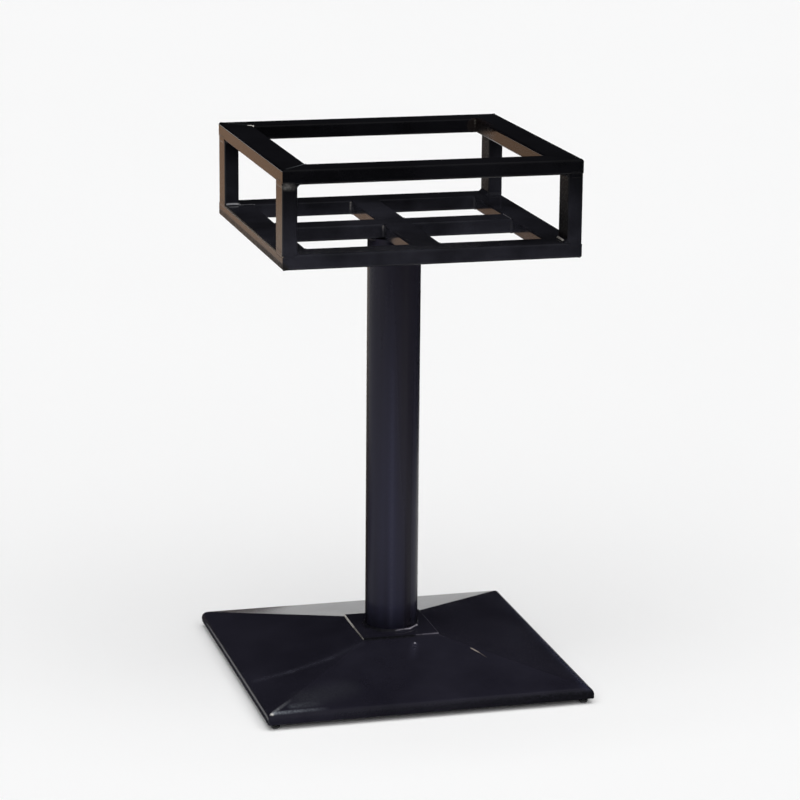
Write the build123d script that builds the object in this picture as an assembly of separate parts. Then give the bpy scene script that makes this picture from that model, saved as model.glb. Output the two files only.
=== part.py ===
"""Steel pedestal table base: a folded pyramid foot on levelling feet, a round column and a tube frame.

The origin is on the floor under the column. +X points to the right of the front, +Y to the back, +Z up.
All sizes are in millimetres.
"""
import os

from build123d import *

# Frame of rectangular tube that carries the table top
OVERALL_HEIGHT = 740.0      # floor to the top of the upper ring
FRAME_WIDTH = 400.0         # outside, left to right
FRAME_DEPTH = 400.0         # outside, front to back
FRAME_HEIGHT = 130.0        # underside of the lower ring to the top of the upper ring
TUBE_WIDE = 40.0            # wide side of the tube, laid flat in both rings
TUBE_THIN = 20.0            # thin side of the tube, which is the height of a ring
TUBE_WALL = 1.5
TUBE_CORNER = 3.0           # outside corner radius of the rolled tube
LEAST_CORNER = 0.3          # the inside corner of the tube is never sharper than this

# Column, the plate that it stands on and the weld at its foot
COLUMN_DIAMETER = 73.0
COLUMN_WALL = 3.0
COLUMN_PLATE_SIDE = 108.0
COLUMN_PLATE_THICKNESS = 3.0
COLUMN_PLATE_EDGE = 0.5     # rounding of the plate's upper edges
WELD_LEG = 4.0              # height and width of the fillet weld

# Pyramid foot of folded sheet
BASE_SIDE = 450.0           # outside of the square rim
BASE_RISE = 48.0            # lower edge of the rim to the flat under the column
FLAT_SIDE = 110.0           # square flat that carries the column's plate
RIM_HEIGHT = 13.5           # lower edge of the rim to where rim and flank would meet in a sharp edge
RIM_RADIUS = 10.0           # outside radius of the bend between flank and rim
FLAT_RADIUS = 5.0           # outside radius of the shallow bend round the flat
SHEET = 3.0

# Levelling feet, one in each corner of the rim
FOOT_INSET = 12.0           # foot axis to the outside of the rim
FOOT_DROP = 8.0             # floor to the lower edge of the rim, as the feet are set
STUD_DIAMETER = 6.0
STUD_CLEARANCE = 0.05       # radial play of the stud in its plate and of the spigot in its pad
STUD_CHAMFER = 0.6
PLATE_LEG = 36.0            # sides of the tapped corner plate along the rim
PLATE_THICKNESS = 4.5
PLATE_RECESS = 0.5          # the plate lies this far above the lower edge of the rim
STUD_PROUD = 3.5            # the stud's upper end stands this far out of the plate
PAD_DIAMETER = 12.0
PAD_HEIGHT = 4.0
PAD_CHAMFER = 2.0           # the pad narrows towards the floor
SPIGOT_DIAMETER = 4.0       # reduced end of the stud, which the pad swivels on
SPIGOT_LENGTH = 2.3
SPIGOT_END_GAP = 0.3        # free space under the spigot, so that the shoulder carries the load

# Levels and half sizes that follow from the driving dimensions
frame_bottom = OVERALL_HEIGHT - FRAME_HEIGHT
upper_ring_level = OVERALL_HEIGHT - TUBE_THIN / 2
lower_ring_level = frame_bottom + TUBE_THIN / 2
post_height = FRAME_HEIGHT - 2 * TUBE_THIN
flat_level = FOOT_DROP + BASE_RISE
column_seat = flat_level + COLUMN_PLATE_THICKNESS
rim_half = BASE_SIDE / 2
column_radius = COLUMN_DIAMETER / 2
foot_place = rim_half - FOOT_INSET
plate_level = FOOT_DROP + PLATE_RECESS
stud_radius = STUD_DIAMETER / 2
spigot_radius = SPIGOT_DIAMETER / 2

SIDES = {"front": 0, "right": 90, "back": 180, "left": 270}
CORNERS = {"back_right": 0, "back_left": 90, "front_left": 180, "front_right": 270}


def tube_section():
    """Rolled rectangular tube in section, wide along its own X and thin along its own Y."""
    inner_corner = max(TUBE_CORNER - TUBE_WALL, LEAST_CORNER)
    outside = RectangleRounded(TUBE_WIDE, TUBE_THIN, TUBE_CORNER)
    bore = RectangleRounded(TUBE_WIDE - 2 * TUBE_WALL, TUBE_THIN - 2 * TUBE_WALL, inner_corner)
    return outside - bore


def square_cut_tube(length):
    """Tube along X, laid flat and centred on the origin, with square ends."""
    return extrude(Plane.YZ * tube_section(), length / 2, both=True)


def mitred_tube(length):
    """Tube along X whose 45 degree ends leave its full length on the -Y side."""
    half, side = length / 2, TUBE_WIDE / 2
    outline = Polygon(
        (-half, -side), (half, -side), (half - TUBE_WIDE, side), (TUBE_WIDE - half, side), align=None
    )
    return square_cut_tube(length) & extrude(outline, TUBE_THIN / 2, both=True)


def ring(name, level):
    """Four mitred rails, each with its long side on the outside of the frame."""
    rails = {}
    for side, turn in SIDES.items():
        across = side in ("front", "back")
        length, reach = (FRAME_WIDTH, FRAME_DEPTH) if across else (FRAME_DEPTH, FRAME_WIDTH)
        place = Pos(0, TUBE_WIDE / 2 - reach / 2, level)
        rails[f"{name}_rail_{side}"] = Rot(0, 0, turn) * place * mitred_tube(length)
    return rails


def corner_posts():
    """Four posts of the same tube between the rings, wide side front to back, flush with the outside."""
    post = extrude(Rot(0, 0, 90) * tube_section(), post_height)
    x = FRAME_WIDTH / 2 - TUBE_THIN / 2
    y = FRAME_DEPTH / 2 - TUBE_WIDE / 2
    level = frame_bottom + TUBE_THIN
    places = {"front_left": (-x, -y), "front_right": (x, -y), "back_left": (-x, y), "back_right": (x, y)}
    return {f"corner_post_{corner}": Pos(*at, level) * post for corner, at in places.items()}


def cross_rails():
    """Cross in the lower ring: one rail from side to side and two butted against it."""
    through = square_cut_tube(FRAME_WIDTH - 2 * TUBE_WIDE)
    half_length = FRAME_DEPTH / 2 - TUBE_WIDE - TUBE_WIDE / 2
    half = Rot(0, 0, 90) * square_cut_tube(half_length)
    y = TUBE_WIDE / 2 + half_length / 2
    return {
        "cross_rail_side_to_side": Pos(0, 0, lower_ring_level) * through,
        "cross_rail_front": Pos(0, -y, lower_ring_level) * half,
        "cross_rail_back": Pos(0, y, lower_ring_level) * half,
    }


def column_tube():
    """Round tube from its plate to the underside of the cross."""
    section = Circle(column_radius) - Circle(column_radius - COLUMN_WALL)
    return Pos(0, 0, column_seat) * extrude(section, frame_bottom - column_seat)


def column_plate():
    """Square plate on the flat of the foot, with its upper edges rounded off."""
    plate = extrude(Rectangle(COLUMN_PLATE_SIDE, COLUMN_PLATE_SIDE), COLUMN_PLATE_THICKNESS)
    top_edges = plate.faces().sort_by(Axis.Z)[-1].edges()
    return Pos(0, 0, flat_level) * fillet(top_edges, COLUMN_PLATE_EDGE)


def column_foot_weld():
    """Fillet weld round the foot of the column, with equal legs on the tube and on its plate."""
    toe = (column_radius + WELD_LEG, 0)
    top = (column_radius, WELD_LEG)
    outline = Polygon((column_radius, 0), toe, top, align=None)
    return Pos(0, 0, column_seat) * revolve(Plane.XZ * outline, Axis.Z)


def cover_profile(lower_edge):
    """Section of the foot across one pair of flanks, as a filled outline down to the lower edge."""
    flat_half = FLAT_SIDE / 2
    rim_top = FOOT_DROP + RIM_HEIGHT
    outline = Polygon(
        (-rim_half, lower_edge), (rim_half, lower_edge), (rim_half, rim_top), (flat_half, flat_level),
        (-flat_half, flat_level), (-rim_half, rim_top), align=None,
    )
    rim_bends = [v for v in outline.vertices() if abs(v.Y - rim_top) < 1e-6]
    outline = fillet(rim_bends, RIM_RADIUS)
    flat_bends = [v for v in outline.vertices() if abs(v.Y - flat_level) < 1e-6]
    return fillet(flat_bends, FLAT_RADIUS)


def square_pyramid(profile):
    """Solid whose front view and side view are both the given profile, so the flanks meet in hips."""
    front_view = extrude(Plane.XZ * profile, rim_half, both=True)
    side_view = extrude(Plane.YZ * profile, rim_half, both=True)
    return front_view & side_view


def foot_hollow():
    """Space under the folded sheet, one sheet thickness inside the foot and open at the floor."""
    return square_pyramid(offset(cover_profile(FOOT_DROP - 2 * SHEET), -SHEET))


def base_cover():
    """Folded sheet pyramid with a turned-down rim, open underneath."""
    return square_pyramid(cover_profile(FOOT_DROP)) - foot_hollow()


def corner_plate():
    """Tapped plate fitted into the back right corner of the rim; the stud runs in its hole."""
    corner = rim_half - SHEET
    outline = Polygon((corner, corner), (corner - PLATE_LEG, corner), (corner, corner - PLATE_LEG), align=None)
    hole = Pos(foot_place, foot_place) * Circle(stud_radius + STUD_CLEARANCE)
    plate = Pos(0, 0, plate_level) * extrude(outline - hole, PLATE_THICKNESS)
    return plate & foot_hollow()


def foot_stud():
    """Levelling stud of the back right corner: a screw with a reduced spigot at its lower end."""
    shank = extrude(Circle(stud_radius), plate_level + PLATE_THICKNESS + STUD_PROUD - PAD_HEIGHT)
    shank = chamfer(shank.edges().sort_by(Axis.Z)[-1], STUD_CHAMFER)
    spigot = extrude(Circle(spigot_radius), -SPIGOT_LENGTH)
    return Pos(foot_place, foot_place, PAD_HEIGHT) * (shank + spigot)


def foot_pad():
    """Round pad of the back right corner, with a blind socket for the spigot."""
    body = extrude(Circle(PAD_DIAMETER / 2), PAD_HEIGHT)
    body = chamfer(body.edges().sort_by(Axis.Z)[0], PAD_CHAMFER)
    depth = SPIGOT_LENGTH + SPIGOT_END_GAP
    socket = Pos(0, 0, PAD_HEIGHT) * extrude(Circle(spigot_radius + STUD_CLEARANCE), -depth)
    return Pos(foot_place, foot_place) * (body - socket)


def in_each_corner(name, piece):
    """The back right corner's piece turned into all four corners of the square foot."""
    return {f"{name}_{corner}": Rot(0, 0, turn) * piece for corner, turn in CORNERS.items()}


parts = {
    "base_cover": base_cover(),
    **in_each_corner("corner_plate", corner_plate()),
    **in_each_corner("foot_stud", foot_stud()),
    **in_each_corner("foot_pad", foot_pad()),
    "column_plate": column_plate(),
    "column_tube": column_tube(),
    "column_foot_weld": column_foot_weld(),
    **ring("bottom", lower_ring_level),
    **cross_rails(),
    **corner_posts(),
    **ring("top", upper_ring_level),
}

os.makedirs("parts", exist_ok=True)
for name, solid in parts.items():
    export_step(solid, f"parts/{name}.step")
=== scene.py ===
# %% [markdown]
# # A black steel table base
# The object is a pedestal: a pyramid foot folded from sheet, a round column welded to a square
# plate, and an open cage of rectangular tube that carries the table top. The solids come from the
# imported frame and are never moved. This file adds what the eye reads as steel work: weld beads,
# threads, softly bent sheet, satin enamel with its dust, scratches and painted highlights and shade,
# and the light.

# %% Load the frame
import math

import bmesh
import bpy
import numpy as np
from mathutils import Matrix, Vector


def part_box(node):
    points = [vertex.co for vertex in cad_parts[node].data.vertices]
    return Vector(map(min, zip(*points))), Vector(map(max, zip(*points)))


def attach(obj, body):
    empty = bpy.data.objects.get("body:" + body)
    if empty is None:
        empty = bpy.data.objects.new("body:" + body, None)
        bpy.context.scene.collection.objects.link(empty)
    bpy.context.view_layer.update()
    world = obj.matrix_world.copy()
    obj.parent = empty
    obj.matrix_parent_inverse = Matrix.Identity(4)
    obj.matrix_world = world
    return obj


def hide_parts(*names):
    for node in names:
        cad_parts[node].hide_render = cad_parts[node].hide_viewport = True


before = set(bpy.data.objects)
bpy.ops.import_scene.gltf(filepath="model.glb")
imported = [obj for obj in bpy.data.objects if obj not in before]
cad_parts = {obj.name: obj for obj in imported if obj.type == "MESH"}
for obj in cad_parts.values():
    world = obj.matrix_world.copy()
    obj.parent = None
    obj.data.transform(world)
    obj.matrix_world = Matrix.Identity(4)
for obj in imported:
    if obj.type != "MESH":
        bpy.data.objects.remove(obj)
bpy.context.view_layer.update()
MM = 0.001

# %% [markdown]
# ## Sizes
# Every place below is read from the frame, so a bead or a bend always lies where its tube or its
# sheet lies. Only what the frame's boxes can't tell, such as a bend radius, is written here.

# %% Read the sizes from the frame
def span(node):
    """Lowest and highest corner of a node at rest, as two arrays in metres."""
    low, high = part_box(node)
    return np.array(low), np.array(high)


foot_low, foot_high = span("base_cover")
plate_low, plate_high = span("column_plate")
column_low, column_high = span("column_tube")
lower_low, lower_high = span("bottom_rail_front")
upper_low, upper_high = span("top_rail_front")
post_low, post_high = span("corner_post_front_left")
column_radius = column_high[0]
cross_half = span("cross_rail_side_to_side")[1][1]
ring_half = lower_high[0]
ring_inner = ring_half - (lower_high[1] - lower_low[1])
post_thin = post_high[0] - post_low[0]
print("ring from", ring_inner, "to", ring_half, "column radius", column_radius)

# %% [markdown]
# ## Camera
# The picture was taken from the front left, from a little above, with a long lens. The angles, the
# distance and the lens were solved from the edges of the foot, the column and the cage. The camera's
# three axes are built from two angles, and a small roll then turns it about its own view.

# %% Place the camera
CAMERA_AZIMUTH = math.radians(-15.05)
CAMERA_ELEVATION = math.radians(14.16)
CAMERA_ROLL = math.radians(0.51)
CAMERA_DISTANCE = 4087.5 * MM
CAMERA_TARGET = np.array([10.0, 0.0, 380.1]) * MM
CAMERA_LENS_MM = 134.2
CAMERA_SENSOR_MM = 36.0


def camera_axes(azimuth, elevation, roll):
    """Right, up and back of a camera: back points from the target to the camera."""
    back = np.array([
        math.sin(azimuth) * math.cos(elevation),
        -math.cos(azimuth) * math.cos(elevation),
        math.sin(elevation),
    ])
    right = np.array([math.cos(azimuth), math.sin(azimuth), 0.0])
    up = np.cross(back, right)
    turned_right = math.cos(roll) * right + math.sin(roll) * up
    turned_up = math.cos(roll) * up - math.sin(roll) * right
    return turned_right, turned_up, back


camera_right, camera_up, camera_back = camera_axes(CAMERA_AZIMUTH, CAMERA_ELEVATION, CAMERA_ROLL)
camera_place = CAMERA_TARGET + camera_back * CAMERA_DISTANCE
placement = np.column_stack([camera_right, camera_up, camera_back, camera_place])
camera = bpy.data.objects.new("camera", bpy.data.cameras.new("camera"))
camera.data.lens = CAMERA_LENS_MM
camera.data.sensor_width = CAMERA_SENSOR_MM
camera.matrix_world = Matrix(placement.tolist()).to_4x4()
bpy.context.scene.collection.objects.link(camera)
bpy.context.scene.camera = camera
print("camera at", [round(v, 3) for v in camera.matrix_world.translation])

# %% [markdown]
# ## Meshes from grids
# A new surface is a grid of points: rows run one way and columns the other, and each cell of four
# neighbours becomes a face. A grid can close on itself, as a ring does, and a row can be capped by
# one polygon. Many small grids make one piece, for a weld is many short beads.

# %% A grid's points and faces
def net(grid, wrap_rows=False, wrap_columns=True, caps=False):
    """Points and faces of a grid of shape (rows, columns, 3).

    Cell (r, c) has the corners (r, c), (r, c + 1), (r + 1, c + 1) and (r + 1, c).
    """
    rows, columns = grid.shape[:2]
    index = np.arange(rows * columns).reshape(rows, columns)
    if wrap_rows:
        index = np.vstack([index, index[:1]])
    if wrap_columns:
        index = np.hstack([index, index[:, :1]])
    cells = np.stack([index[:-1, :-1], index[:-1, 1:], index[1:, 1:], index[1:, :-1]], axis=-1)
    faces = cells.reshape(-1, 4).tolist()
    if caps:
        faces.append(index[0, :columns][::-1].tolist())
        faces.append(index[-1, :columns].tolist())
    return grid.reshape(-1, 3), faces


print("a closed ring of 3 by 4 points has", len(net(np.zeros((3, 4, 3)))[1]), "faces")

# %% [markdown]
# ## From nets to a piece
# The nets of a piece are joined into one mesh. Points that meet are merged, all faces are turned to
# look outwards, and the shading is smooth. Nearly every new piece is welded to the base, so that
# body is what a piece gets unless it says otherwise.

# %% Make a piece
DOUBLES_MM = 0.002


def make_piece(name, nets, material, replaced=(), body="base_and_frame"):
    """One piece from many nets, riding on a body and standing for the solids that it replaces."""
    points, faces, count = [], [], 0
    for net_points, net_faces in nets:
        faces += [[corner + count for corner in face] for face in net_faces]
        points.append(net_points)
        count += len(net_points)
    mesh = bpy.data.meshes.new(name)
    mesh.from_pydata(np.concatenate(points).tolist(), [], faces)
    shape = bmesh.new()
    shape.from_mesh(mesh)
    bmesh.ops.remove_doubles(shape, verts=shape.verts, dist=DOUBLES_MM * MM)
    bmesh.ops.recalc_face_normals(shape, faces=shape.faces)
    shape.to_mesh(mesh)
    shape.free()
    mesh.polygons.foreach_set("use_smooth", np.ones(len(mesh.polygons), bool))
    mesh.materials.append(material)
    piece = bpy.data.objects.new(name, mesh)
    bpy.context.scene.collection.objects.link(piece)
    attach(piece, body)
    if replaced:
        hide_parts(*replaced)
    print(name, len(mesh.polygons), "faces on", body)
    return piece


print("points closer than", DOUBLES_MM, "mm are merged")

# %% [markdown]
# ## Nodes and colours
# Colours are written as the sRGB hex values that a paint chart would give, and one function turns
# them linear. One small function adds a shader node, sets it and links its inputs. The Mix node's
# inputs go by number: 0 is the factor, 2 and 3 take plain numbers, 6 and 7 take colours.

# %% Helpers for materials
def linear(code):
    """Linear RGBA of an sRGB hex colour: c / 12.92 below 0.04045, else ((c + 0.055) / 1.055) to 2.4."""
    srgb = [int(code[i:i + 2], 16) / 255 for i in (1, 3, 5)]
    return [c / 12.92 if c <= 0.04045 else ((c + 0.055) / 1.055) ** 2.4 for c in srgb] + [1.0]


def add(tree, kind, sockets=None, **settings):
    """Adds one node, sets its properties, and gives each input socket a value or a link."""
    node = tree.nodes.new("ShaderNode" + kind)
    for key, value in settings.items():
        setattr(node, key, value)
    for key, value in (sockets or {}).items():
        if isinstance(value, bpy.types.NodeSocket):
            tree.links.new(value, node.inputs[key])
        else:
            node.inputs[key].default_value = value
    return node


def new_material(name):
    """An empty node material, its node tree and its output node."""
    material = bpy.data.materials.new(name)
    material.use_nodes = True
    material.node_tree.nodes.clear()
    return material, material.node_tree, add(material.node_tree, "OutputMaterial")


def per_metre(size_mm):
    """Texture scale that makes one feature about this many millimetres wide."""
    return 1.0 / (size_mm * MM)


print("mid grey is linear", round(linear("#808080")[0], 3))

# %% [markdown]
# ## Strokes of wear and of painted light
# A scratch, a chip or a rub is a straight stroke on the paint, and so is each painted highlight,
# painted glint and painted shade. It could be painted into a picture, but two points, a width and a
# colour are enough: how far a point lies from the line between them gives the mask. A chip is a
# stroke of no length.

# %% Mask of a stroke
LEAST_LENGTH_SQUARED = 1e-12


def stroke_mask(tree, place, rub, start_mm, end_mm, half_width, soft, strengths):
    """Mask of one stroke: full on the line, nothing beyond its soft edge.

    The nearest point of the segment is start + t * run, with t = dot(place - start, run) / run squared,
    held between 0 and 1. The mask falls off with the distance from that point, its strength changes
    from one end to the other, and a patchy noise breaks it up.
    """
    start = [v * MM for v in start_mm]
    run = [(b - a) * MM for a, b in zip(start_mm, end_mm)]
    run_squared = max(sum(v * v for v in run), LEAST_LENGTH_SQUARED)
    offset = add(tree, "VectorMath", {0: place, 1: start}, operation="SUBTRACT").outputs["Vector"]
    dot = add(tree, "VectorMath", {0: offset, 1: run}, operation="DOT_PRODUCT").outputs["Value"]
    share = add(
        tree, "Math", {0: dot, 1: 1 / run_squared}, operation="MULTIPLY", use_clamp=True).outputs["Value"]
    nearest = add(tree, "VectorMath", {0: run, "Scale": share}, operation="SCALE").outputs["Vector"]
    away = add(tree, "VectorMath", {0: offset, 1: nearest}, operation="DISTANCE").outputs["Value"]
    near = add(tree, "MapRange", {
        "Value": away, "From Min": half_width * MM, "From Max": (half_width + soft) * MM,
        "To Min": 1.0, "To Max": 0.0}, interpolation_type="SMOOTHSTEP").outputs["Result"]
    fade = add(tree, "MapRange", {
        "Value": share, "To Min": strengths[0], "To Max": strengths[1]}).outputs["Result"]
    full = add(tree, "Math", {0: near, 1: fade}, operation="MULTIPLY").outputs["Value"]
    return add(tree, "Math", {0: full, 1: rub}, operation="MULTIPLY").outputs["Value"]


print("a chip counts as a stroke of", round(math.sqrt(LEAST_LENGTH_SQUARED) / MM, 4), "mm")

# %% [markdown]
# ## Dust
# Dust lies in clouds a hand wide, and more of it low down than high up. A slow noise gives the
# clouds, the height gives the settling, and a fine noise gives the specks. On the column the clouds
# are drawn out into long upright streaks.

# %% Mask of the dust
CLOUD_MM = 110.0
CLOUD_ROUGHNESS = 0.55
GRIT_MM = 1.3               # real dust is finer, and is drawn this coarse so that it shows
GRIT_ROUGHNESS = 0.6
GRIT_RANGE = (0.3, 0.7)
SPECK_RANGE = (0.8, 1.2)    # the specks thin or thicken the film by a fifth
LEAST_DUST = 0.15


def dust_mask(tree, place, settled, cloud_mm, stretch, octaves, film_range):
    """Dust = film of the clouds * settling by height * specks, held between 0 and 1.

    The dust thickens from the first to the second of the two settled levels, in millimetres. Stretch
    above 1 draws the clouds out upwards. The film goes from bare to full over the noise's film range.
    """
    drawn = add(tree, "VectorMath", {
        0: place, 1: (1.0, 1.0, 1.0 / stretch)}, operation="MULTIPLY").outputs["Vector"]
    cloud = add(tree, "TexNoise", {
        "Vector": drawn, "Scale": per_metre(cloud_mm), "Detail": octaves,
        "Roughness": CLOUD_ROUGHNESS}).outputs["Fac"]
    film = add(tree, "MapRange", {
        "Value": cloud, "From Min": film_range[0], "From Max": film_range[1]}).outputs["Result"]
    height = add(tree, "SeparateXYZ", {"Vector": place}).outputs["Z"]
    settling = add(tree, "MapRange", {
        "Value": height, "From Min": settled[0] * MM, "From Max": settled[1] * MM,
        "To Min": LEAST_DUST}).outputs["Result"]
    grit = add(tree, "TexNoise", {
        "Vector": place, "Scale": per_metre(GRIT_MM), "Detail": 2.0,
        "Roughness": GRIT_ROUGHNESS}).outputs["Fac"]
    specks = add(tree, "MapRange", {
        "Value": grit, "From Min": GRIT_RANGE[0], "From Max": GRIT_RANGE[1],
        "To Min": SPECK_RANGE[0], "To Max": SPECK_RANGE[1]}).outputs["Result"]
    cover = add(tree, "Math", {0: film, 1: settling}, operation="MULTIPLY").outputs["Value"]
    return add(
        tree, "Math", {0: cover, 1: specks}, operation="MULTIPLY", use_clamp=True).outputs["Value"]


print("dust in clouds of", CLOUD_MM, "mm")

# %% [markdown]
# ## Satin black enamel
# All the steel is sprayed with one black enamel and stoved. It dries with a faint skin of waves a
# few millimetres across, called orange peel, and with a satin gloss that stays dark when looked at
# straight and turns bright at a glancing angle. Dust and wear change its colour and dull its gloss,
# and painted highlights and painted shade lie on it as strokes.

# %% Satin black enamel
PEEL_MM = 2.4
PEEL_HEIGHT_MM = 0.006
PATCH_MM = 3.0
PATCH_RANGE = (0.35, 0.6)
LEAST_PATCH = 0.45
MARK_ROUGHNESS = 0.6
ENAMEL_IOR = 1.5
ENAMEL_SPECULAR = 0.12


def satin_enamel(name, clean, dusty, gloss, settled, strokes,
                 cloud_mm=CLOUD_MM, stretch=1.0, octaves=4.0, film_range=(0.3, 0.7)):
    """Stoved black enamel with dust, orange peel, strokes of wear and strokes of painted light.

    The gloss gives the roughness of the clean and of the dusty enamel. Each stroke lays its colour,
    with a matte roughness, over what is there, as much as its mask says.
    """
    material, tree, output = new_material(name)
    place = add(tree, "TexCoord").outputs["Object"]
    dust = dust_mask(tree, place, settled, cloud_mm, stretch, octaves, film_range)
    colour = add(tree, "Mix", {0: dust, 6: linear(clean), 7: linear(dusty)}, data_type="RGBA").outputs[2]
    roughness = add(tree, "Mix", {0: dust, 2: gloss[0], 3: gloss[1]}).outputs[0]
    patchy_noise = add(tree, "TexNoise", {
        "Vector": place, "Scale": per_metre(PATCH_MM), "Detail": 2.0}).outputs["Fac"]
    rub = add(tree, "MapRange", {
        "Value": patchy_noise, "From Min": PATCH_RANGE[0], "From Max": PATCH_RANGE[1],
        "To Min": LEAST_PATCH}).outputs["Result"]
    # a stroke is wear, or it is painted light: a painted highlight, glint, reflection or shade
    for *shape, mark_colour in strokes:
        mask = stroke_mask(tree, place, rub, *shape)
        colour = add(tree, "Mix", {0: mask, 6: colour, 7: linear(mark_colour)}, data_type="RGBA").outputs[2]
        roughness = add(tree, "Mix", {0: mask, 2: roughness, 3: MARK_ROUGHNESS}).outputs[0]
    peel = add(tree, "TexNoise", {
        "Vector": place, "Scale": per_metre(PEEL_MM), "Detail": 1.0}).outputs["Fac"]
    waves = add(tree, "Bump", {
        "Height": peel, "Distance": PEEL_HEIGHT_MM * MM, "Strength": 1.0}).outputs["Normal"]
    shader = add(tree, "BsdfPrincipled", {
        "Base Color": colour, "Roughness": roughness, "IOR": ENAMEL_IOR,
        "Specular IOR Level": ENAMEL_SPECULAR, "Normal": waves})
    tree.links.new(shader.outputs["BSDF"], output.inputs["Surface"])
    return material


print("orange peel of", PEEL_MM, "mm")

# %% [markdown]
# ## Wear and painted light on the foot
# The foot is where shoes and mops meet the paint. It has a scratch, and a chip with a smear below it,
# on its front flank, a scuffed front left corner with dust behind it, and a rubbed right edge on the
# plate. Painted light lies on it too: a highlight fanning out from that corner along the rim bend and
# the hip, a light band of painted reflection across the left flank, painted shade on the front rim, a
# bluish painted reflection along the right rim, a painted highlight on the plate's left edge, painted
# shade along the plate's front edge and on the left of the column's weld, a painted highlight on the
# weld in front, and a faint light line on a hip. Each lies where it is seen, in the object's own
# millimetres.

# %% Wear and painted light on the foot
# start, end, half width and soft edge in millimetres, strength at both ends, colour of the mark
FOOT_STROKES = (
    # scratch on the front flank and its fading tail
    ((88.4, -96.0, 47.7), (96.0, -108.5, 45.2), 0.5, 0.8, (1.1, 0.8), "#B0A69C"),
    ((96.0, -108.5, 45.2), (102.5, -122.5, 42.4), 0.3, 0.8, (0.5, 0.2), "#7E746C"),
    # chip in front of the plate and the smear below it
    ((15.2, -71.5, 52.6), (15.2, -71.5, 52.6), 0.8, 1.0, (1.3, 1.3), "#C9C7D0"),
    ((14.0, -74.0, 52.1), (-2.0, -120.0, 42.8), 0.2, 9.0, (0.4, 0.0), "#3E3D4B"),
    # scuff on the front left corner, a painted highlight fanning out from it along the rim bend and the
    # hip, and the dust behind
    ((-219.0, -219.0, 21.5), (-219.0, -219.0, 21.5), 1.0, 3.0, (1.0, 1.0), "#CFCDC8"),
    ((-216.0, -218.0, 22.5), (-140.0, -217.0, 23.2), 0.2, 5.0, (0.6, 0.0), "#858A92"),
    ((-188.0, -206.0, 25.4), (-145.0, -203.0, 26.0), 0.3, 10.0, (0.22, 0.0), "#6F747A"),
    ((-216.0, -216.0, 23.0), (-184.0, -187.0, 29.2), 0.2, 4.5, (0.5, 0.0), "#8A8C90"),
    ((-165.0, -190.0, 28.5), (-110.0, -172.0, 32.2), 3.0, 30.0, (0.2, 0.12), "#45484A"),
    # painted reflection: a light band across the left flank
    ((-212.0, -92.0, 24.1), (-165.0, -94.0, 33.6), 0.2, 11.0, (0.3, 0.34), "#3C3C46"),
    ((-165.0, -94.0, 33.6), (-110.0, -86.0, 44.8), 0.2, 11.0, (0.34, 0.3), "#3C3C46"),
    ((-110.0, -86.0, 44.8), (-58.0, -62.0, 55.4), 0.2, 9.0, (0.3, 0.15), "#3C3C46"),
    # painted shade on the front rim, and a bluish painted reflection along the right rim
    ((-130.0, -225.0, 13.0), (225.0, -225.0, 13.0), 4.0, 6.0, (0.3, 1.2), "#0B0B10"),
    ((217.0, 180.0, 22.4), (217.0, -214.0, 22.4), 0.5, 13.0, (0.12, 0.45), "#32374E"),
    # edges of the plate: a painted highlight on the left, painted shade in front, rubbed on the right,
    # and a faint light line down the hip below
    ((-54.2, 54.0, 58.0), (-54.2, 0.0, 58.0), 1.1, 0.6, (1.4, 0.7), "#DEDAD2"),
    ((-54.2, 0.0, 58.0), (-54.2, -54.0, 58.0), 0.9, 0.6, (0.7, 0.35), "#C9C4BC"),
    ((-51.0, -54.5, 57.6), (18.0, -54.5, 57.6), 1.6, 1.0, (1.2, 1.0), "#0C0C10"),
    ((22.0, -54.4, 58.4), (54.2, -54.4, 58.4), 0.5, 0.8, (0.3, 1.1), "#77737E"),
    ((54.2, -54.2, 58.4), (54.2, 30.0, 58.4), 0.5, 0.8, (0.9, 0.4), "#77737E"),
    ((55.0, -55.0, 56.4), (64.0, -64.0, 54.2), 0.2, 1.2, (0.5, 0.0), "#6A6672"),
    # weld at the column's foot: painted shade on the left, a painted highlight in front
    ((-34.8, 16.2, 61.0), (-37.6, -8.0, 61.0), 2.2, 1.4, (1.0, 1.2), "#0C0C10"),
    ((-37.6, -8.0, 61.0), (-24.7, -29.4, 61.0), 2.2, 1.4, (1.2, 1.0), "#0C0C10"),
    ((-24.7, -29.4, 61.0), (-3.3, -38.3, 61.0), 2.2, 1.4, (1.0, 0.5), "#0C0C10"),
    ((-3.3, -38.3, 61.4), (18.0, -33.9, 61.4), 0.5, 0.9, (0.3, 0.8), "#8F8B94"),
    ((18.0, -33.9, 61.4), (33.3, -19.2, 61.4), 0.5, 0.9, (0.8, 1.2), "#A29EA6"),
)
print("strokes on the foot", len(FOOT_STROKES))
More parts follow.
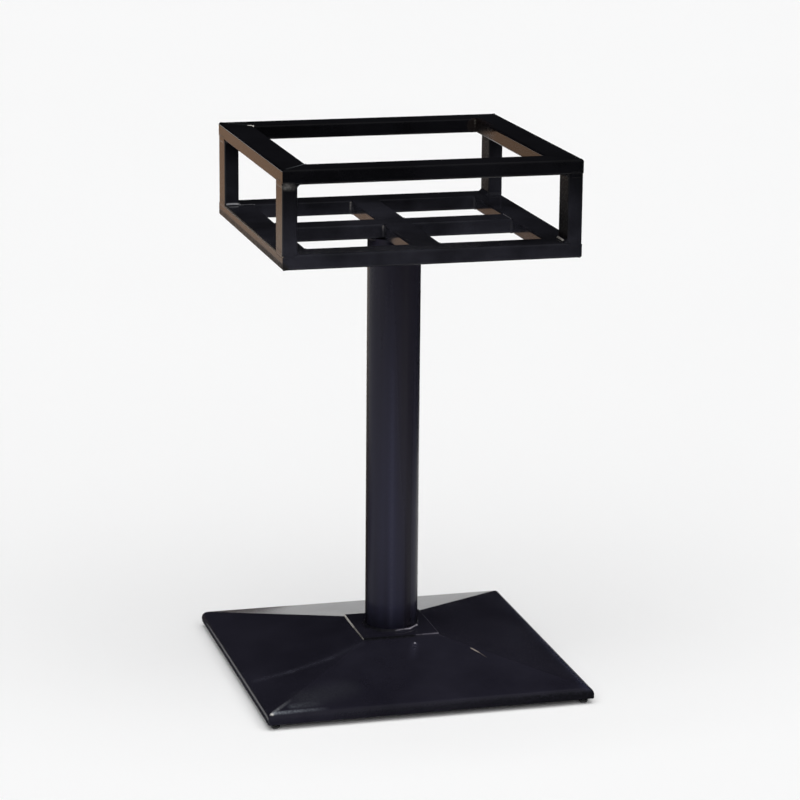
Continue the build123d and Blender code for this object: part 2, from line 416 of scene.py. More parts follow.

# %% [markdown]
# ## Painted light on the cage and the column
# The cage's strokes are painted light: glints at two inner corners and on beads, highlights along
# seams and edges, and painted shade on the posts' wide inner sides, inside the right upper rail
# towards the back, and low on the left lower rail. A faint light streak runs down the column's front,
# strongest near its foot.

# %% Painted light on the cage and the column
CAGE_STROKES = (
    # painted glints at the upper ring's back left inner corner and in the lower ring's front left one
    ((-160.5, 161.0, 740.0), (-166.0, 163.0, 740.0), 1.3, 1.2, (1.6, 0.5), "#D9D6CF"),
    ((-159.0, -160.0, 629.0), (-159.0, -160.0, 629.0), 1.6, 1.5, (1.4, 1.4), "#D9D6CF"),
    # painted glints on beads: upper ring's back right corner, back and middle of the cross, feet of two
    # posts
    ((158.5, 158.5, 737.0), (158.5, 158.5, 726.0), 0.8, 1.4, (0.9, 0.3), "#B9B4AC"),
    ((-21.5, 158.5, 628.0), (-21.5, 158.5, 617.0), 0.6, 1.4, (0.5, 0.2), "#8E8A88"),
    ((-21.5, -21.5, 629.0), (-21.5, -21.5, 622.0), 0.6, 1.6, (0.5, 0.1), "#8E8A88"),
    ((177.8, -188.0, 632.2), (177.8, -161.0, 632.2), 0.8, 1.0, (1.0, 0.5), "#C9C4BC"),
    ((-199.0, 157.8, 632.2), (-180.0, 157.8, 632.2), 0.8, 1.0, (0.9, 1.0), "#A4A4A8"),
    ((-180.0, 159.5, 630.3), (-158.0, 161.0, 630.3), 0.6, 1.0, (0.8, 0.5), "#98989C"),
    # painted shade on the inner side of the right upper rail, towards the back
    ((159.5, 158.0, 730.0), (159.5, 60.0, 730.0), 9.0, 6.0, (1.3, 0.0), "#140F0E"),
    # painted highlights on the mitre seams on the left and on the inner edge of the right lower rail
    ((-194.0, -194.0, 740.2), (-162.0, -162.0, 740.2), 0.5, 1.3, (0.15, 0.4), "#8E9498"),
    ((-195.0, 195.0, 740.2), (-166.0, 166.0, 740.2), 0.5, 1.5, (0.1, 0.15), "#8E9498"),
    ((158.5, 24.0, 630.2), (158.5, -70.0, 630.0), 0.3, 1.3, (0.35, 0.2), "#8E8C90"),
    # left lower rail: painted shade below, and a painted highlight along its upper edge
    ((-200.0, 200.0, 612.5), (-200.0, -200.0, 612.0), 5.0, 5.0, (0.7, 1.0), "#15120F"),
    ((-199.4, 200.0, 629.0), (-199.6, -200.0, 628.0), 0.3, 1.2, (0.3, 0.45), "#8F8371"),
    # painted highlight at the top of the front left post
    ((-196.0, -200.0, 718.5), (-187.0, -200.0, 717.5), 0.3, 6.5, (1.0, 0.4), "#5A5856"),
)
CORNERS = {"front_left": (-1, -1), "front_right": (1, -1), "back_left": (-1, 1), "back_right": (1, 1)}
POST_PLACE_MM = 180.0
# painted shade on the wide inner side of each post
POST_PAINTED_SHADE = tuple(
    ((sx * POST_PLACE_MM, sy * POST_PLACE_MM, 640.0), (sx * POST_PLACE_MM, sy * POST_PLACE_MM, 712.0),
     17.0, 3.0, (1.3, 1.3), "#08080A")
    for sx, sy in CORNERS.values())
# a faint light streak down the column's front, strongest near its foot
COLUMN_STROKES = (((-9.5, -35.3, 62.0), (-9.5, -35.3, 430.0), 0.4, 3.5, (0.5, 0.1), "#3A3A49"),)
print("strokes on the cage", len(CAGE_STROKES), "on the posts", len(POST_PAINTED_SHADE))

# %% [markdown]
# ## The same enamel on four pieces of work
# One paint looks different on each part. The cage's colour is the darkest: partly clean paint and
# partly painted shade, as the cage stood in less light than the column and the foot. The posts only
# gather dust near their feet. The column is duller, lighter and bluer towards its foot and has faint
# upright streaks, and the foot is dusty all over.

# %% Four enamels
# the cage's near-black colour is partly painted shade
CAGE_PAINT_AND_SHADE = ("#050506", "#2A2A31", (0.10, 0.17))
cage_enamel = satin_enamel("satin_black_enamel", *CAGE_PAINT_AND_SHADE, (690, 618), CAGE_STROKES)
post_enamel = satin_enamel("satin_black_enamel_post", *CAGE_PAINT_AND_SHADE, (720, 630), CAGE_STROKES + POST_PAINTED_SHADE)
column_enamel = satin_enamel(
    "satin_black_enamel_column", "#201E26", "#2A2A3A", (0.26, 0.32), (640, 200), COLUMN_STROKES,
    cloud_mm=14.0, stretch=60.0, octaves=0.5, film_range=(0.7, 0.3))
foot_enamel = satin_enamel(
    "satin_black_enamel_dusty_foot", "#18171F", "#23222B", (0.13, 0.17), (300, 100), FOOT_STROKES)
print("enamels", [m.name for m in (cage_enamel, post_enamel, column_enamel, foot_enamel)])

# %% [markdown]
# ## Zinc plate and nylon
# The levelling studs are bright zinc plated steel, a metal with a cloudy grey sheen. Their pads are
# moulded nylon: black, matte, with a fine spark-eroded grain.

# %% Zinc plated steel
ZINC_CLOUD_MM = 3.0
ZINC_ROUGHNESS = (0.25, 0.5)


def zinc_plate(name):
    """Zinc plated steel: grey metal whose colour and roughness cloud over a few millimetres."""
    material, tree, output = new_material(name)
    place = add(tree, "TexCoord").outputs["Object"]
    cloud = add(tree, "TexNoise", {
        "Vector": place, "Scale": per_metre(ZINC_CLOUD_MM), "Detail": 3.0}).outputs["Fac"]
    colour = add(tree, "Mix", {
        0: cloud, 6: linear("#8E8C86"), 7: linear("#C9C6BD")}, data_type="RGBA").outputs[2]
    roughness = add(tree, "MapRange", {
        "Value": cloud, "To Min": ZINC_ROUGHNESS[0], "To Max": ZINC_ROUGHNESS[1]}).outputs["Result"]
    shader = add(tree, "BsdfPrincipled", {"Base Color": colour, "Metallic": 1.0, "Roughness": roughness})
    tree.links.new(shader.outputs["BSDF"], output.inputs["Surface"])
    return material


stud_zinc = zinc_plate("bright_zinc_plate")
print("studs", stud_zinc.name)

# %% Moulded nylon
NYLON_GRAIN_MM = 0.5        # spark-eroded grain is finer, and is drawn this coarse so that it shows
NYLON_GRAIN_DEPTH_MM = 0.02
NYLON_ROUGHNESS = 0.55
NYLON_IOR = 1.53


def moulded_nylon(name):
    """Black nylon whose grain varies the colour a little and roughens the surface."""
    material, tree, output = new_material(name)
    place = add(tree, "TexCoord").outputs["Object"]
    grain = add(tree, "TexNoise", {
        "Vector": place, "Scale": per_metre(NYLON_GRAIN_MM), "Detail": 2.0}).outputs["Fac"]
    colour = add(tree, "Mix", {
        0: grain, 6: linear("#0B0B0C"), 7: linear("#17171A")}, data_type="RGBA").outputs[2]
    bump = add(tree, "Bump", {"Height": grain, "Distance": NYLON_GRAIN_DEPTH_MM * MM}).outputs["Normal"]
    shader = add(tree, "BsdfPrincipled", {
        "Base Color": colour, "Roughness": NYLON_ROUGHNESS, "IOR": NYLON_IOR, "Normal": bump})
    tree.links.new(shader.outputs["BSDF"], output.inputs["Surface"])
    return material


pad_nylon = moulded_nylon("moulded_black_nylon")
print("pads", pad_nylon.name)

# %% [markdown]
# ## Finishes on the solids
# A solid whose shape is right keeps its mesh and only gets a finish. The first start of a name that
# fits a solid gives its finish, and what fits none belongs to the cage.

# %% Give every solid its finish
FINISHES = {
    "column_plate": foot_enamel, "column": column_enamel, "base": foot_enamel,
    "corner_plate": foot_enamel, "corner_post": post_enamel,
    "foot_stud": stud_zinc, "foot_pad": pad_nylon,
}
for node_name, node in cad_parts.items():
    finish = next((m for start, m in FINISHES.items() if node_name.startswith(start)), cage_enamel)
    node.data.materials.clear()
    node.data.materials.append(finish)
print("finished", len(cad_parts), "solids")

# %% [markdown]
# ## Bent sections
# Sheet never folds to a sharp edge: every fold is an arc. So a section is drawn with sharp corners
# first, and each corner is then replaced by an arc of its own radius. Long straight runs are divided,
# so that the faces of the mesh stay small and even.

# %% Helpers for bent sections
BEND_STEPS = 10


def rounded_path(points, radii):
    """Polyline whose inner corners are arcs.

    An arc starts radius * tan(half the turn) before its corner. Its points are its centre plus the
    radius times a direction that swings from one tangent point to the other.
    """
    points = np.asarray(points, float)
    path = [points[:1]]
    for before, corner, after, radius in zip(points, points[1:], points[2:], radii):
        into = (corner - before) / np.linalg.norm(corner - before)
        out = (after - corner) / np.linalg.norm(after - corner)
        half_turn = math.acos(np.clip(into @ out, -1, 1)) / 2
        first = corner - into * radius * math.tan(half_turn)
        bisector = (out - into) / np.linalg.norm(out - into)
        centre = corner + bisector * radius / math.cos(half_turn)
        start = math.atan2(*(first - centre)[::-1])
        turn = 2 * half_turn * np.sign(into[0] * out[1] - into[1] * out[0])
        angle = start + turn * np.linspace(0, 1, BEND_STEPS)
        path.append(centre + radius * np.stack([np.cos(angle), np.sin(angle)], axis=-1))
    path.append(points[-1:])
    return np.concatenate(path)


def divided(path, longest):
    """The path with points added so that no step is longer than this."""
    steps = np.linalg.norm(np.diff(path, axis=0), axis=1)
    counts = np.maximum(np.ceil(steps / longest).astype(int), 1)
    shares = [np.arange(n) / n for n in counts]
    pieces = [a + (b - a) * s[:, None] for a, b, s in zip(path, path[1:], shares)]
    return np.concatenate(pieces + [path[-1:]])


print("a bend has", BEND_STEPS, "points")

# %% [markdown]
# ## Folded foot
# The foot is one sheet with four flanks that meet in hips, a bend all round and a short rim. Carrying
# a section round a square gives exactly that: at each point of the section the square has that half
# width. A square with round corners is a smaller square plus a circle, so the hips get a small radius
# too, as pressed sheet has.

# %% Section of the foot
SHEET_MM = 3.0
FLAT_HALF_MM = 55.0
RIM_CORNER_MM = 13.5
FLAT_BEND_MM = 5.0
RIM_BEND_MM = 10.0
EDGE_BREAK_MM = 0.6
MIDDLE_MM = 0.5             # the flat is closed by a cap of this half width
SECTION_STEP_MM = 9.0


def foot_section():
    """Section of the sheet from the middle out, down the rim and back along its inside, in millimetres.

    An inside corner lies sheet * tan(half the fold) short of the outside one, and its bend is one sheet
    thickness tighter.
    """
    flat, low, rim = foot_high[2] / MM, foot_low[2] / MM, foot_high[0] / MM
    rim_corner = low + RIM_CORNER_MM
    slope = math.atan2(flat - rim_corner, rim - FLAT_HALF_MM)
    flat_fold = SHEET_MM * math.tan(slope / 2)
    rim_fold = SHEET_MM * math.tan((math.pi / 2 - slope) / 2)
    outside = [(MIDDLE_MM, flat), (FLAT_HALF_MM, flat), (rim, rim_corner), (rim, low)]
    inside = [
        (rim - SHEET_MM, low), (rim - SHEET_MM, rim_corner - rim_fold),
        (FLAT_HALF_MM - flat_fold, flat - SHEET_MM), (MIDDLE_MM, flat - SHEET_MM),
    ]
    radii = [FLAT_BEND_MM, RIM_BEND_MM, EDGE_BREAK_MM, EDGE_BREAK_MM,
             RIM_BEND_MM - SHEET_MM, FLAT_BEND_MM - SHEET_MM]
    return divided(rounded_path(outside + inside, radii), SECTION_STEP_MM)


print("the foot's section has", len(foot_section()), "points")

# %% Folded foot
HIP_RADIUS_MM = 2.5
HIP_SHARE = 0.8             # near the middle the hip radius is at most this share of the half width
SIDE_STEPS = 28
HIP_STEPS = 6


def square_loop():
    """Two arrays: a point of a rounded square is (half - radius) * core + radius * arc."""
    side = np.linspace(-1, 1, SIDE_STEPS)
    swing = np.linspace(0, math.pi / 2, HIP_STEPS + 2)[1:-1]
    core = np.concatenate([np.stack([np.ones(SIDE_STEPS), side], -1), np.ones((HIP_STEPS, 2))])
    hip = np.stack([np.cos(swing), np.sin(swing)], -1)
    arc = np.concatenate([np.tile([1.0, 0.0], (SIDE_STEPS, 1)), hip])
    quarter = np.array([[0.0, 1.0], [-1.0, 0.0]])
    turns = [np.linalg.matrix_power(quarter, k) for k in range(4)]
    return np.concatenate([core @ t for t in turns]), np.concatenate([arc @ t for t in turns])


def folded_foot():
    """Closed shell of the foot: each point of its section becomes a rounded square at its level."""
    section = foot_section()
    core, arc = square_loop()
    half = section[:, 0][:, None, None]
    radius = np.minimum(HIP_RADIUS_MM, HIP_SHARE * half)
    plan = (half - radius) * core + radius * arc
    level = np.broadcast_to(section[:, 1][:, None, None], plan.shape[:2] + (1,))
    return np.concatenate([plan, level], axis=-1) * MM


make_piece("folded_foot", [net(folded_foot(), caps=True)], foot_enamel, ["base_cover"])

# %% [markdown]
# ## Column
# The column is a tube that was rolled, welded along its length and drawn to size. A plain cylinder
# would give its outside. A section of radius and height, swept round the axis as on a lathe, gives its
# wall and both ends too, and a fine sweep keeps the long reflections smooth.

# %% Column
SWEEP_STEPS = 192
COLUMN_WALL_MM = 3.0
COLUMN_STEP_MM = 40.0


def lathe(section):
    """Grid of a section (radius, height) turned about the vertical: x = r cos a, y = r sin a, z = height."""
    section = np.asarray(section, float)
    angle = np.linspace(0, 2 * math.pi, SWEEP_STEPS, endpoint=False)
    x = section[:, :1] * np.cos(angle)
    y = section[:, :1] * np.sin(angle)
    z = np.broadcast_to(section[:, 1:], x.shape)
    return np.stack([x, y, z], axis=-1)


column_bore = column_radius - COLUMN_WALL_MM * MM
column_corners = np.array([
    (column_bore, column_low[2]), (column_radius, column_low[2]), (column_radius, column_high[2]),
    (column_bore, column_high[2]), (column_bore, column_low[2])])
column_section = divided(column_corners, COLUMN_STEP_MM * MM)[:-1]
make_piece("drawn_column", [net(lathe(column_section), wrap_rows=True)], column_enamel, ["column_tube"])

# %% [markdown]
# ## Weld beads
# A fillet weld fills the corner between two walls. It was laid in small steps, so it has a ripple every
# couple of millimetres, a slightly hollow face, and legs that wander with the welder's hand. Each bead
# is a short closed strip that shrinks to nothing at its ends, under the same enamel as the tubes.

# %% Size and section of a bead
RIPPLE_MM = 2.2
RIPPLE_SHARE = 0.10
WANDER_MM = (11.0, 4.3)
WANDER_SHARE = 0.10
TAPER_POWER = 14
LEAST_TAPER = 0.03
HOLLOW_SHARE = 0.06
ROOT_SHARE = 0.12
FACE_POINTS = 8
random_phase = np.random.default_rng(7)


def bead_leg(distance, leg, tapered):
    """Leg length along a bead: a ripple, |sin| of the distance, on a slow wander of two sines.

    A tapered bead shrinks at its ends by the root of 1 - |s| to a high power, s going from -1 to 1.
    """
    ripple = np.abs(np.sin(math.pi * distance / (RIPPLE_MM * MM)))
    phase = random_phase.uniform(0, 2 * math.pi, 2)
    slow = (np.sin(distance / (WANDER_MM[0] * MM) + phase[0])
            + np.sin(distance / (WANDER_MM[1] * MM) + phase[1]))
    size = leg * (1 + RIPPLE_SHARE * (ripple - 0.5) + WANDER_SHARE * 0.5 * slow)
    if tapered:
        share = 2 * distance / distance[-1] - 1
        size = size * np.clip(1 - np.abs(share) ** TAPER_POWER, LEAST_TAPER, 1) ** 0.5
    return size


def bead_rows(corner, wall_a, wall_b, leg):
    """Rows of a bead: a face point is corner + leg * ((1 - w) A + w B - hollow * 4w(1 - w) (A + B))."""
    w = np.linspace(0, 1, FACE_POINTS)[None, :, None]
    a, b, size = wall_a[:, None, :], wall_b[:, None, :], leg[:, None, None]
    face = corner[:, None, :] + size * ((1 - w) * a + w * b - HOLLOW_SHARE * 4 * w * (1 - w) * (a + b))
    root = corner[:, None, :] - ROOT_SHARE * size * (a + b)
    return np.concatenate([face, root], axis=1)


print("a bead ripples every", RIPPLE_MM, "mm")

# %% Straight beads and beads round the column
BEAD_STEP_MM = 0.45
LEAST_ROWS = 8


def straight_bead(start, end, wall_a, wall_b, leg):
    """Net of a bead along the straight corner from start to end, all in metres."""
    start, end = np.asarray(start, float), np.asarray(end, float)
    length = np.linalg.norm(end - start)
    distance = np.linspace(0, length, max(int(length / (BEAD_STEP_MM * MM)), LEAST_ROWS))
    corner = start + (end - start) * (distance / length)[:, None]
    walls = [np.tile(np.asarray(w, float), (len(distance), 1)) for w in (wall_a, wall_b)]
    return net(bead_rows(corner, *walls, bead_leg(distance, leg, tapered=True)), caps=True)


def arc_bead(radius, level, first, last, up, leg):
    """Net of a bead on the outside of the column, from one angle to another; a whole turn closes."""
    whole = math.isclose(last - first, 2 * math.pi)
    count = int(radius * (last - first) / (BEAD_STEP_MM * MM))
    angle = np.linspace(first, last, count, endpoint=not whole)
    outward = np.stack([np.cos(angle), np.sin(angle), np.zeros(count)], axis=-1)
    corner = outward * radius + np.array([0.0, 0.0, level])
    upward = np.tile([0.0, 0.0, up], (count, 1))
    size = bead_leg(radius * (angle - first), leg, tapered=not whole)
    return net(bead_rows(corner, outward, upward, size), wrap_rows=whole, caps=not whole)


print("a bead has a row every", BEAD_STEP_MM, "mm")

# %% [markdown]
# ## Welds of the column
# The column is welded all round at its plate. Under the cross only the stretches below the rails can
# be welded, so its head has four arcs. The plate itself is sealed to the foot by a thin run.

# %% Welds of the column
COLUMN_LEG_MM = 4.0
HEAD_LEG_MM = 3.5
PLATE_LEG_MM = 1.1
UP, DOWN = np.array([0.0, 0.0, 1.0]), np.array([0.0, 0.0, -1.0])
QUARTER_TURNS = np.arange(4) * math.pi / 2

foot_bead = arc_bead(column_radius, column_low[2], 0, 2 * math.pi, 1.0, COLUMN_LEG_MM * MM)
make_piece("column_foot_bead", [foot_bead], foot_enamel, ["column_foot_weld"])

below_rail = math.asin(cross_half / column_radius)
head_beads = [
    arc_bead(column_radius, column_high[2], turn - below_rail, turn + below_rail, -1.0, HEAD_LEG_MM * MM)
    for turn in QUARTER_TURNS]
make_piece("column_head_beads", head_beads, cage_enamel)

plate_half = plate_high[0]
plate_beads = []
for turn in QUARTER_TURNS:
    side = np.array([math.cos(turn), math.sin(turn), 0.0]).round(6)
    along = np.cross(UP, side) * plate_half
    middle = side * plate_half + UP * plate_low[2]
    plate_beads.append(straight_bead(middle - along, middle + along, side, UP, PLATE_LEG_MM * MM))
make_piece("plate_seal_beads", plate_beads, foot_enamel)

# %% [markdown]
# ## Welds of the cage
# Each post has a bead along the two sides that look into the cage, at its foot and at its head. The
# rings and the cross have upright beads in their inside corners. On the flat top sides the welds were
# ground down, which leaves a low strip along each joint.

# %% Beads at the posts
CAGE_LEG_MM = 4.5
END_GAP_MM = 1.5


def post_beads():
    """Beads along the two inner sides of each post, at both ends."""
    nets = []
    outer = ring_half - END_GAP_MM * MM
    for sx, sy in CORNERS.values():
        x, y = sx * (ring_half - post_thin), sy * ring_inner
        for level, up in ((post_low[2], UP), (post_high[2], DOWN)):
            corner = (x, y, level)
            long_side = (x, sy * outer, level), corner
            short_side = (sx * outer, y, level), corner
            nets.append(straight_bead(*long_side, up, (-sx, 0.0, 0.0), CAGE_LEG_MM * MM))
            nets.append(straight_bead(*short_side, up, (0.0, -sy, 0.0), CAGE_LEG_MM * MM))
    return nets


make_piece("post_beads", post_beads(), cage_enamel)

# %% Upright beads in the rings and in the cross
CORNER_LEG_MM = 3.2


def upright_bead(x, y, low, high, wall_a, wall_b):
    """Upright bead in an inside corner, a little shorter than the tube is high."""
    gap = END_GAP_MM * MM
    return straight_bead((x, y, low + gap), (x, y, high - gap), wall_a, wall_b, CORNER_LEG_MM * MM)


def ring_beads():
    """Upright beads in the inside corners of both rings."""
    levels = ((lower_low[2], lower_high[2]), (upper_low[2], upper_high[2]))
    return [upright_bead(sx * ring_inner, sy * ring_inner, low, high, (-sx, 0, 0), (0, -sy, 0))
            for sx, sy in CORNERS.values() for low, high in levels]


def cross_beads():
    """Upright beads in the inside corners of the cross, at its ends and at its middle."""
    low, high = lower_low[2], lower_high[2]
    nets = []
    for sx, sy in CORNERS.values():
        nets.append(upright_bead(sx * ring_inner, sy * cross_half, low, high, (-sx, 0, 0), (0, sy, 0)))
        nets.append(upright_bead(sx * cross_half, sy * ring_inner, low, high, (sx, 0, 0), (0, -sy, 0)))
        nets.append(upright_bead(sx * cross_half, sy * cross_half, low, high, (sx, 0, 0), (0, sy, 0)))
    return nets


make_piece("ring_corner_beads", ring_beads(), cage_enamel)
make_piece("cross_beads", cross_beads(), cage_enamel)

# %% [markdown]
# ## Ground seams
# Where two tubes meet in one plane, the weld was ground nearly flush. What is left is a strip a few
# millimetres wide and a fraction of a millimetre proud, which feathers out to both sides in shallow
# waves. The seams round the posts are wider and lower than the others.

# %% One ground seam
SEAM_MM = (2.2, 0.35)           # half width and height
POST_SEAM_MM = (4.2, 0.12)
SEAM_DEPTH_MM = 0.3
SEAM_ROWS = 60
SEAM_POINTS = 13


def ground_seam(start, end, up, half_width, full_height):
    """Net of a low strip from start to end: across it, height = full height * (1 - u squared) squared."""
    start, end = np.asarray(start, float), np.asarray(end, float)
    run = (end - start) / np.linalg.norm(end - start)
    across = np.cross(up, run)
    distance = np.linspace(0, np.linalg.norm(end - start), SEAM_ROWS)
    size = bead_leg(distance, 1.0, tapered=True)
    u = np.linspace(-1, 1, SEAM_POINTS)
    height = full_height * MM * (1 - u ** 2) ** 2
    line = start + run * distance[:, None]
    top = (line[:, None, :] + (size[:, None] * u)[:, :, None] * half_width * MM * across
           + (size[:, None] * height)[:, :, None] * up)
    keel = line[:, None, :] - up * SEAM_DEPTH_MM * MM * size[:, None, None]
    return net(np.concatenate([top, keel], axis=1), caps=True)


print("seams of", SEAM_MM, "mm and round the posts of", POST_SEAM_MM, "mm")

# %% Ground seams
TUBE_CORNER_MM = 3.0


def corner_seams(sx, sy):
    """Seams of one corner: three mitres, then the outer sides of its post at its foot and its head."""
    rounding = TUBE_CORNER_MM * MM
    outer = ring_half - END_GAP_MM * MM
    far = ring_half - rounding
    mitres = ((upper_high[2], UP, outer), (lower_high[2], UP, ring_half - post_thin),
              (lower_low[2], DOWN, outer))
    nets = []
    for level, up, end in mitres:
        inner_end = (sx * ring_inner, sy * ring_inner, level)
        nets.append(ground_seam(inner_end, (sx * end, sy * end, level), up, *SEAM_MM))
    for level in (post_low[2], post_high[2]):
        side_start = (sx * ring_half, sy * (ring_inner + rounding), level)
        side_end = (sx * ring_half, sy * far, level)
        front_start = (sx * (ring_half - post_thin + rounding), sy * ring_half, level)
        front_end = (sx * far, sy * ring_half, level)
        nets.append(ground_seam(side_start, side_end, np.array([sx, 0.0, 0.0]), *POST_SEAM_MM))
        nets.append(ground_seam(front_start, front_end, np.array([0.0, sy, 0.0]), *POST_SEAM_MM))
    return nets


def cross_seams():
    """Seams at the ends of the cross and at its middle, above and below."""
    nets = []
    half = cross_half
    for level, up in ((lower_high[2], UP), (lower_low[2], DOWN)):
        for end, butt in ((-ring_inner, -half), (ring_inner, half)):
            nets.append(ground_seam((-half, end, level), (half, end, level), up, *SEAM_MM))
            nets.append(ground_seam((end, -half, level), (end, half, level), up, *SEAM_MM))
            nets.append(ground_seam((-half, butt, level), (half, butt, level), up, *SEAM_MM))
    return nets


seams = [seam for signs in CORNERS.values() for seam in corner_seams(*signs)] + cross_seams()
make_piece("ground_seams", seams, cage_enamel)

# %% [markdown]
# ## Threaded studs
# The solid stud has a plain shank, and its thread belongs to the look. On a cylinder the thread is one
# formula: the radius depends on how far a point lies, in turns, from the helix of one pitch a turn.

# %% Threaded studs
PITCH_MM = 1.0
THREAD_DEPTH_MM = 0.55
STUD_CHAMFER_MM = 0.6
SPIGOT_RADIUS_MM = 2.0
AXIS_RADIUS_MM = 0.02       # both ends close on a ring this small
STUD_ROWS = 130
STUD_STEPS = 40


def threaded_stud(low, high, seat):
    """Closed grid of a stud: an axis ring, the spigot, a threaded shank with chamfers, an axis ring.

    Thread: radius = major - depth * |2 f - 1|, where f is the fraction of (height / pitch - angle / turn).
    """
    centre = (low + high) / 2
    major = (high[0] - low[0]) / 2
    angle = np.linspace(0, 2 * math.pi, STUD_STEPS, endpoint=False)[None, :]
    z = np.linspace(seat, high[2], STUD_ROWS)[:, None]
    fraction = np.mod((z - seat) / (PITCH_MM * MM) - angle / (2 * math.pi), 1.0)
    thread = major - THREAD_DEPTH_MM * MM * np.abs(2 * fraction - 1)
    chamfer = major - STUD_CHAMFER_MM * MM + np.minimum(z - seat, high[2] - z)
    shank = np.minimum(thread, chamfer)
    spigot = np.array([AXIS_RADIUS_MM, SPIGOT_RADIUS_MM, SPIGOT_RADIUS_MM])[:, None] * MM + 0 * angle
    spigot_z = np.array([low[2], low[2], seat])[:, None] + 0 * angle
    radius = np.concatenate([spigot, shank, np.full_like(angle, AXIS_RADIUS_MM * MM)])
    height = np.concatenate([spigot_z, z + 0 * angle, np.full_like(angle, high[2])])
    return np.stack([
        centre[0] + radius * np.cos(angle), centre[1] + radius * np.sin(angle), height], axis=-1)


for corner_name in CORNERS:
    stud_low, stud_high = span(f"foot_stud_{corner_name}")
    pad_top = span(f"foot_pad_{corner_name}")[1][2]
    stud_net = net(threaded_stud(stud_low, stud_high, pad_top), caps=True)
    make_piece(f"threaded_stud_{corner_name}", [stud_net], stud_zinc, [f"foot_stud_{corner_name}"],
               f"stud_{corner_name}")

# %% [markdown]
# ## Floor and far wall
# The base stands on a plain pale floor that runs far back, so from above the floor is the whole
# background. A low view looks past the floor's end, so a round pale wall stands there. Only the camera
# sees the wall: it gives no light, and the enamel doesn't mirror it.

# %% Floor and far wall
FLOOR_HALF_M = 22.0
FLOOR_CLOUD_MM = 1250.0
WALL_RADIUS_M = 21.0
WALL_FOOT_M = -0.1
WALL_HEIGHT_M = 12.0


def stage_piece(name, points, faces, material, unseen_by=()):
    """A mesh that isn't part of the object, hidden from the named kinds of ray."""
    mesh = bpy.data.meshes.new(name)
    mesh.from_pydata(np.asarray(points).tolist(), [], faces)
    mesh.materials.append(material)
    piece = bpy.data.objects.new(name, mesh)
    bpy.context.scene.collection.objects.link(piece)
    for ray in unseen_by:
        setattr(piece, f"visible_{ray}", False)
    return piece


def pale_floor():
    """Flat square floor at level 0, matte and pale, with a faint unevenness of tone."""
    material, tree, output = new_material("pale_matte_floor")
    place = add(tree, "TexCoord").outputs["Object"]
    cloud = add(tree, "TexNoise", {
        "Vector": place, "Scale": per_metre(FLOOR_CLOUD_MM), "Detail": 2.0}).outputs["Fac"]
    colour = add(tree, "Mix", {
        0: cloud, 6: linear("#F9F9F9"), 7: linear("#FBFBFB")}, data_type="RGBA").outputs[2]
    shader = add(tree, "BsdfPrincipled", {
        "Base Color": colour, "Roughness": 1.0, "Specular IOR Level": 0.0})
    tree.links.new(shader.outputs["BSDF"], output.inputs["Surface"])
    side = np.array([-1, 1]) * FLOOR_HALF_M
    points, faces = net(np.stack(np.meshgrid(side, side, [0.0]), -1)[:, :, 0], wrap_columns=False)
    return stage_piece("floor", points, faces, material)


def far_wall():
    """Round pale wall at the floor's end."""
    material, tree, output = new_material("pale_far_wall")
    glow = add(tree, "Emission", {"Color": linear("#F8F8F8"), "Strength": 1.0})
    tree.links.new(glow.outputs["Emission"], output.inputs["Surface"])
    points, faces = net(lathe([(WALL_RADIUS_M, WALL_FOOT_M), (WALL_RADIUS_M, WALL_HEIGHT_M)]))
    return stage_piece("far_wall", points, faces, material, ("diffuse", "glossy", "transmission", "shadow"))


print("stage", pale_floor().name, far_wall().name)

# %% [markdown]
# ## Two suns in a dim room
# A wide soft sun from the front lights floor and steel evenly, as a large studio lamp does. It is split
# in two: most of it is a fill that isn't mirrored, and a weaker part gives the enamel its sheen. The
# room above is dim, which keeps flat enamel black: satin black shows what it mirrors, and upward faces
# mirror the room.

# %% Suns and room
SUN_ELEVATION = 60
SUN_AZIMUTH = -6
SUN_SPREAD = 95
ROOM_COLOUR = "#17171A"


def soft_sun(name, strength, mirrored):
    """Wide sun; its azimuth is 0 from the front and grows to the right, in degrees as its other angles."""
    sun = bpy.data.objects.new(name, bpy.data.lights.new(name, "SUN"))
    sun.data.energy = strength
    sun.data.angle = math.radians(SUN_SPREAD)
    sun.visible_glossy = mirrored
    sun.rotation_euler = (math.radians(90 - SUN_ELEVATION), 0.0, math.radians(SUN_AZIMUTH))
    bpy.context.scene.collection.objects.link(sun)
    return sun


fill_sun = soft_sun("fill_sun", strength=2.75, mirrored=False)
sheen_sun = soft_sun("sheen_sun", strength=0.8, mirrored=True)
world = bpy.data.worlds.new("dim_room")
world.use_nodes = True
room = world.node_tree.nodes["Background"].inputs
room["Color"].default_value = linear(ROOM_COLOUR)
room["Strength"].default_value = 1.0
bpy.context.scene.world = world
bpy.context.scene.view_settings.view_transform = "Standard"
print("lights", fill_sun.name, sheen_sun.name)

# %% [markdown]
# ## Cards for the mirror images
# The left faces of the cage glow warm in the picture, as if they mirrored a bright brown ground, while
# its other faces stay dark. Product photographers lay cards for that. These lie on the floor or stand
# on it, and only mirrors see them, so they tint the sheen and change neither light nor shadow.

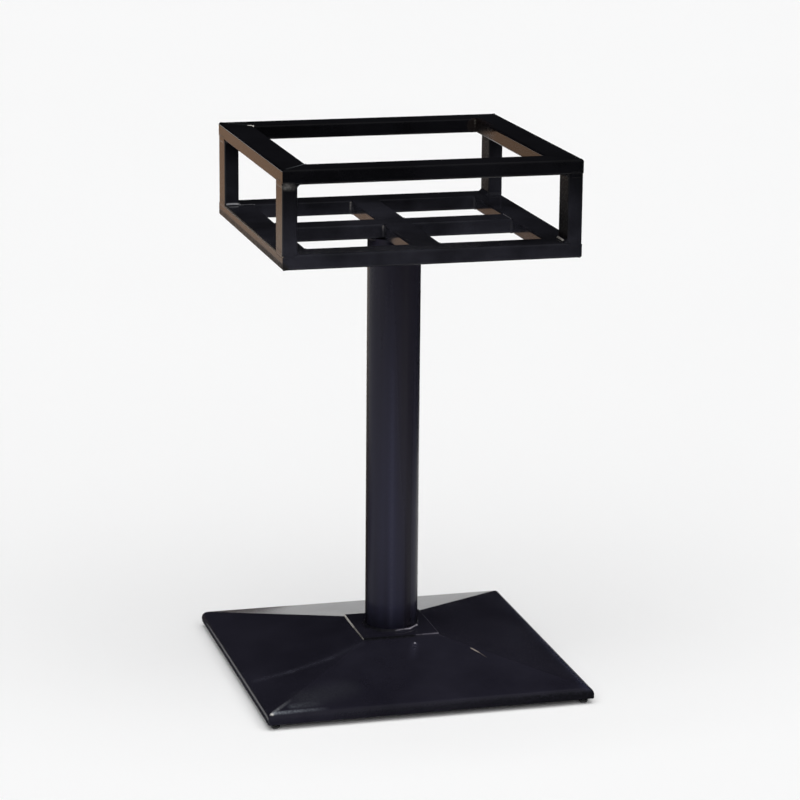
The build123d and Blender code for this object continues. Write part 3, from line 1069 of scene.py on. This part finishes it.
# %% Mirror cards
def mirror_card(name, corner, edge_a, edge_b, near, far):
    """Flat card that only mirrors see; its colour goes from near to far along its second edge.

    The share along the edge is dot(place - corner, edge) / edge squared.
    """
    corner, edge_a, edge_b = (np.asarray(v, float) for v in (corner, edge_a, edge_b))
    material, tree, output = new_material(name)
    place = add(tree, "TexCoord").outputs["Object"]
    offset = add(tree, "VectorMath", {0: place, 1: corner}, operation="SUBTRACT").outputs["Vector"]
    share = add(tree, "VectorMath", {
        0: offset, 1: edge_b / (edge_b @ edge_b)}, operation="DOT_PRODUCT").outputs["Value"]
    colour = add(tree, "Mix", {0: share, 6: linear(near), 7: linear(far)}, data_type="RGBA").outputs[2]
    glow = add(tree, "Emission", {"Color": colour, "Strength": 1.0})
    tree.links.new(glow.outputs["Emission"], output.inputs["Surface"])
    points = np.array([corner, corner + edge_a, corner + edge_a + edge_b, corner + edge_b])
    unseen_by = ("camera", "diffuse", "shadow", "transmission")
    return stage_piece(name, points, [[0, 1, 2, 3]], material, unseen_by)


WARM, DARK, RIM_DARK = "#CFA98C", "#101013", "#1A1A20"
# corner, first edge and second edge in metres, colours at the start and at the end of the second edge
MIRROR_CARDS = {
    "warm_far": ((-2.6, 3.6, 0.003), (2.3, 0.0, 0.0), (0.0, 1.9, 0.0), WARM, WARM),
    "warm_near": ((-2.6, 2.5, 0.003), (1.75, 0.0, 0.0), (0.0, 1.1, 0.0), "#FFF0DC", WARM),
    "brown_inner": ((-0.85, 2.5, 0.003), (0.55, 0.0, 0.0), (0.0, 1.1, 0.0), "#A77C64", WARM),
    "dim_near": ((-0.85, 0.25, 0.003), (0.79, 0.0, 0.0), (0.0, 2.25, 0.0), "#48403E", "#AC9688"),
    "dark_front": ((-4.0, -7.0, 0.003), (8.0, 0.0, 0.0), (0.0, 5.3, 0.0), DARK, DARK),
    "dark_right": ((0.9, -0.8, 0.003), (0.0, 3.0, 0.0), (0.0, 0.0, 0.6), DARK, DARK),
    "dark_by_left_rim": ((-0.240, -0.23, 0.003), (0.012, 0.0, 0.0), (0.0, 0.6, 0.0), RIM_DARK, RIM_DARK),
    "dark_by_front_rim": ((-0.23, -0.33, 0.003), (0.6, 0.0, 0.0), (0.0, 0.102, 0.0), RIM_DARK, RIM_DARK),
}
for card_name, card_shape in MIRROR_CARDS.items():
    mirror_card(card_name, *card_shape)
print("cards", len(MIRROR_CARDS))
